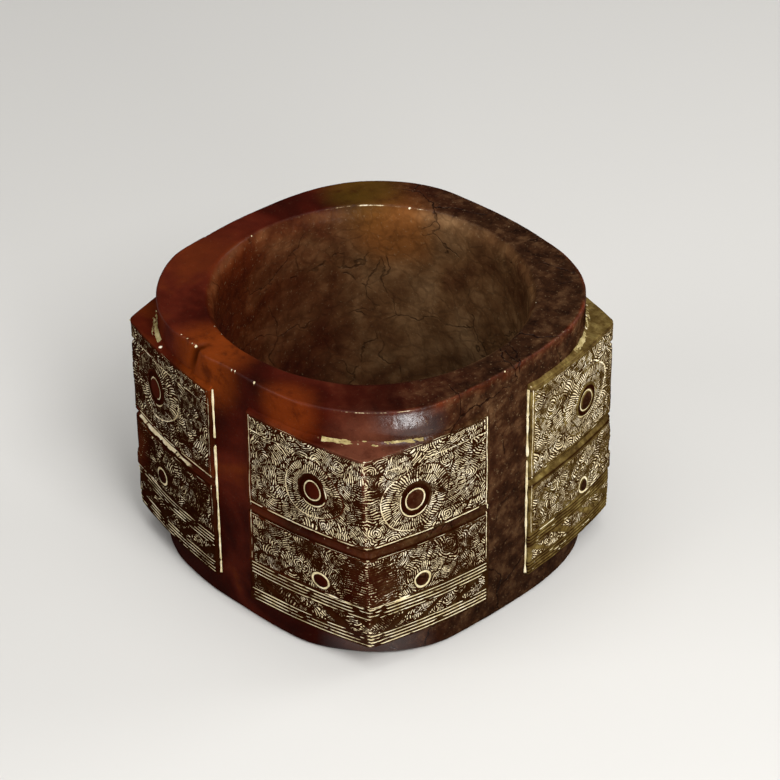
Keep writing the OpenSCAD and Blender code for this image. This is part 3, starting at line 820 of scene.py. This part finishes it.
border_lines = [(f, BORDER_Z, 0.0, LINE_HALF, 0.05) for f in FACES]
strip_lines = [(f, STRIP_Z, 4.3, LINE_HALF, 0.05) for f in FACES]
tier_lines = []
for face in FACES:
    tier_lines.append((face, TIER_Z - TIER_LINE, 0.0, FINE_HALF, 0.12))
    tier_lines.append((face, TIER_Z + TIER_LINE, 0.0, LINE_HALF, 0.0))
upper_lines = [(f, middle, 0.0, LINE_HALF, 0.0) for f in FACES for middle in BAND_LINES[:4]]
lower_lines = [(f, middle, 0.0, LINE_HALF, 0.0) for f in FACES for middle in BAND_LINES[4:]]
packed_earth("earth_border_lines", border_lines, 170, 4, in_line, "border_fill")
packed_earth("earth_strip_lines", strip_lines, 150, 4, in_line, "hat_fill")
packed_earth("earth_tier_lines", tier_lines, 170, 4, in_line, "tier_fill")
packed_earth("earth_upper_band", upper_lines, 130, 2, in_line, "upper_band_fill")
packed_earth("earth_lower_band", lower_lines, 130, 2, in_line, "lower_band_fill")


def in_ring(seam, along, across, deep):
    """A ring cut round an eye. The face wanders a little, so the ring is moved back by as much."""
    face, middle_a, middle_z, radius, half, squash_a, squash_z = seam
    own = FACES[face].seed
    turn = along * 2 * math.pi
    ring_a = middle_a + (radius + across * half) * squash_a * np.cos(turn)
    ring_z = middle_z + (radius + across * half) * squash_z * np.sin(turn)
    a, z = ring_a, ring_z
    for _ in range(3):
        a, z = ring_a - 0.3 * rolling(a, z, 10, own + 40), ring_z - 0.25 * rolling(a, z, 12, own + 50)
    level = 0.03 + 0.08 * across**2 + lost(face, a, z, RING_SEED + int(radius * 7))
    level = level + 0.07 * rolling(a, z, 6, own + 90)
    if radius > SMALL_RING:
        level = level - 0.25 - 0.14 * (1 - step(0, 1, np.abs(radius - 2.7) / 0.6))
    if radius == EYE_RINGS[1]:
        level = level + 0.3 * (1 - step(-0.1, 0.5, np.cos(turn - 4.1)))
    return on_face(face, a, z, np.where(deep > 0.5, SEAM_FLOOR, level))


large_rings, small_rings = [], []
for face, f in FACES.items():
    for radius in EYE_RINGS:
        large_rings.append((face, f.eye_a, f.eye_z, radius, RING_HALF, *EYE_SQUASH))
    small_rings.append((face, f.small_a, f.small_z, SMALL_RING, SMALL_RING_HALF, 1.0, 1.0))
packed_earth("earth_large_eyes", large_rings, 72, 3, in_ring, "large_eye_fill", close=True)
packed_earth("earth_small_eyes", small_rings, 48, 4, in_ring, "small_eye_fill", close=True)


def beside_prism(face, along, across, deep):
    """A bead in the inside corner between a prism's side and its channel."""
    edge, length = face_ends(face)[1:]
    own = FACES[face].seed
    z = PRISM_BOTTOM + 0.3 + along * (PRISM_TOP - PRISM_BOTTOM - 0.6)
    beside = on_face(face, length + 0 * z, z, 0 * z)
    standing = np.hypot(beside[:, 0], beside[:, 1]) - ground_r(math.atan2(edge[1], edge[0]))
    gone = rolling(z, 0 * z + 5, 7, own + 300) + 0.5 * rolling(z, 0 * z, 1.9, own + 301) - FACES[face].packed
    gone = step(-0.15, 0.35, gone)
    size = (0.8 - 0.6 * gone) * (0.8 + 0.3 * rolling(z, 0 * z, 2.6, own + 302))
    side = (across + 1) / 2
    a = length + np.where(deep > 0.5, -0.15, size * 0.42 * side - 0.03)
    sink = np.where(deep > 0.5, standing + 0.3, standing - size * 0.5 * (1 - side) + 0.35 * gone)
    return on_face(face, a, z, sink)


packed_earth("earth_beside_prisms", list(FACES), 170, 3, beside_prism, "edge_fill")


def on_shoulder(seam, along, across, deep):
    """A thin crust on the ledge above a prism, beside the foot of the collar."""
    middle, half_width, off_wall, wide, seed = seam
    angle = math.radians(middle) + (along * 2 - 1) * math.radians(half_width)
    reach = (1 + across) / 2
    waver = 0.15 * rolling(angle * 40, 0 * angle, 3, seed + 2)
    out = ground_r(angle) + off_wall + waver + wide * (reach - 0.5)
    island = 0.8 * rolling(1.3 * out * angle, 3 * out, 3.0, seed)
    island = island + 0.9 * rolling(1.2 * out * angle, 2.5 * out, 0.9, seed + 1)
    edge = np.clip(1 - np.abs(2 * reach - 1) ** 2, 0, 1) * (1 - np.abs(along * 2 - 1) ** 2)
    hollow = np.clip(1 - (out - ground_r(angle)) / HOLLOW, 0, 1) ** 2
    thick = 0.22 * step(0.35, 0.75, 0.70 * edge + 0.6 * island)
    z = PRISM_TOP - 0.2 + hollow + np.where(deep > 0.5, -0.6, thick - 0.12)
    return np.stack([out * np.cos(angle), out * np.sin(angle), z], -1)


# Each crust: direction and half its width in degrees, how far off the collar, how wide, seed.
packed_earth("earth_on_shoulders", [
    (-50, 6, 0.35, 0.9, 61), (-46, 6, 0.95, 0.5, 65), (-35, 5, 0.3, 0.6, 66), (228, 9, 0.6, 1.3, 62),
    (34, 5, 0.4, 0.8, 63), (45, 6, 0.8, 1.4, 68), (135, 12, 0.9, 1.0, 64),
], 110, 12, on_shoulder, "shoulder_crust")


# The setting: a plain pale floor, soft lamps, and the camera of the photograph.
floor_mesh = bpy.data.meshes.new("floor")
bm = bmesh.new()
bmesh.ops.create_grid(bm, x_segments=1, y_segments=1, size=3.0)
bm.to_mesh(floor_mesh)
bm.free()
floor = bpy.data.objects.new("floor", floor_mesh)
bpy.context.collection.objects.link(floor)
paper = bpy.data.materials.new("matt_paper")
paper.use_nodes = True
coated = paper.node_tree.nodes["Principled BSDF"].inputs
coated["Base Color"].default_value = linear("#d4d2ce")
coated["Roughness"].default_value = 0.9
coated["Specular IOR Level"].default_value = 0.1
floor.data.materials.append(paper)

world = bpy.data.worlds.new("soft_room")
bpy.context.scene.world = world
world.use_nodes = True
world.node_tree.nodes["Background"].inputs["Color"].default_value = linear("#e6e4e0")
world.node_tree.nodes["Background"].inputs["Strength"].default_value = 0.14


def lamp(name, place, aim_z, size, power):
    """A soft lamp in metres and watts, turned to a point on the object's axis."""
    light = bpy.data.lights.new(name, "AREA")
    light.shape = "RECTANGLE"
    light.size, light.size_y = size
    light.energy = power
    turned = (Vector((0, 0, aim_z)) - Vector(place)).to_track_quat("-Z", "Y").to_matrix().to_4x4()
    made = bpy.data.objects.new(name, light)
    made.matrix_world = Matrix.Translation(place) @ turned
    bpy.context.collection.objects.link(made)


lamp("key_right", (0.52, -0.16, 0.60), 0.03, (0.35, 0.35), 4.4)
lamp("low_right", (0.645, -0.244, 0.12), 0.04, (0.20, 0.09), 2.6)
lamp("fill_left", (-0.30, -0.75, 0.45), 0.03, (0.5, 0.4), 2.2)
lamp("overhead", (0.05, -0.10, 1.05), 0.03, (0.9, 0.9), 5.0)
lamp("back_right", (0.30, 0.65, 0.40), 0.03, (0.4, 0.3), 1.6)

camera_data = bpy.data.cameras.new("camera")
camera_data.lens, camera_data.sensor_width = 146.0, 36.0
camera = bpy.data.objects.new("camera", camera_data)
right = Vector((0.68826, 0.72540, -0.00939))
above = Vector((-0.40437, 0.39434, 0.82522))
back = Vector((0.60232, -0.56417, 0.56474))
turned = Matrix((right, above, back)).transposed().to_4x4()
camera.matrix_world = Matrix.Translation((0.371594, -0.343396, 0.378591)) @ turned
bpy.context.collection.objects.link(camera)
bpy.context.scene.camera = camera

bpy.context.scene.view_settings.view_transform = "Standard"
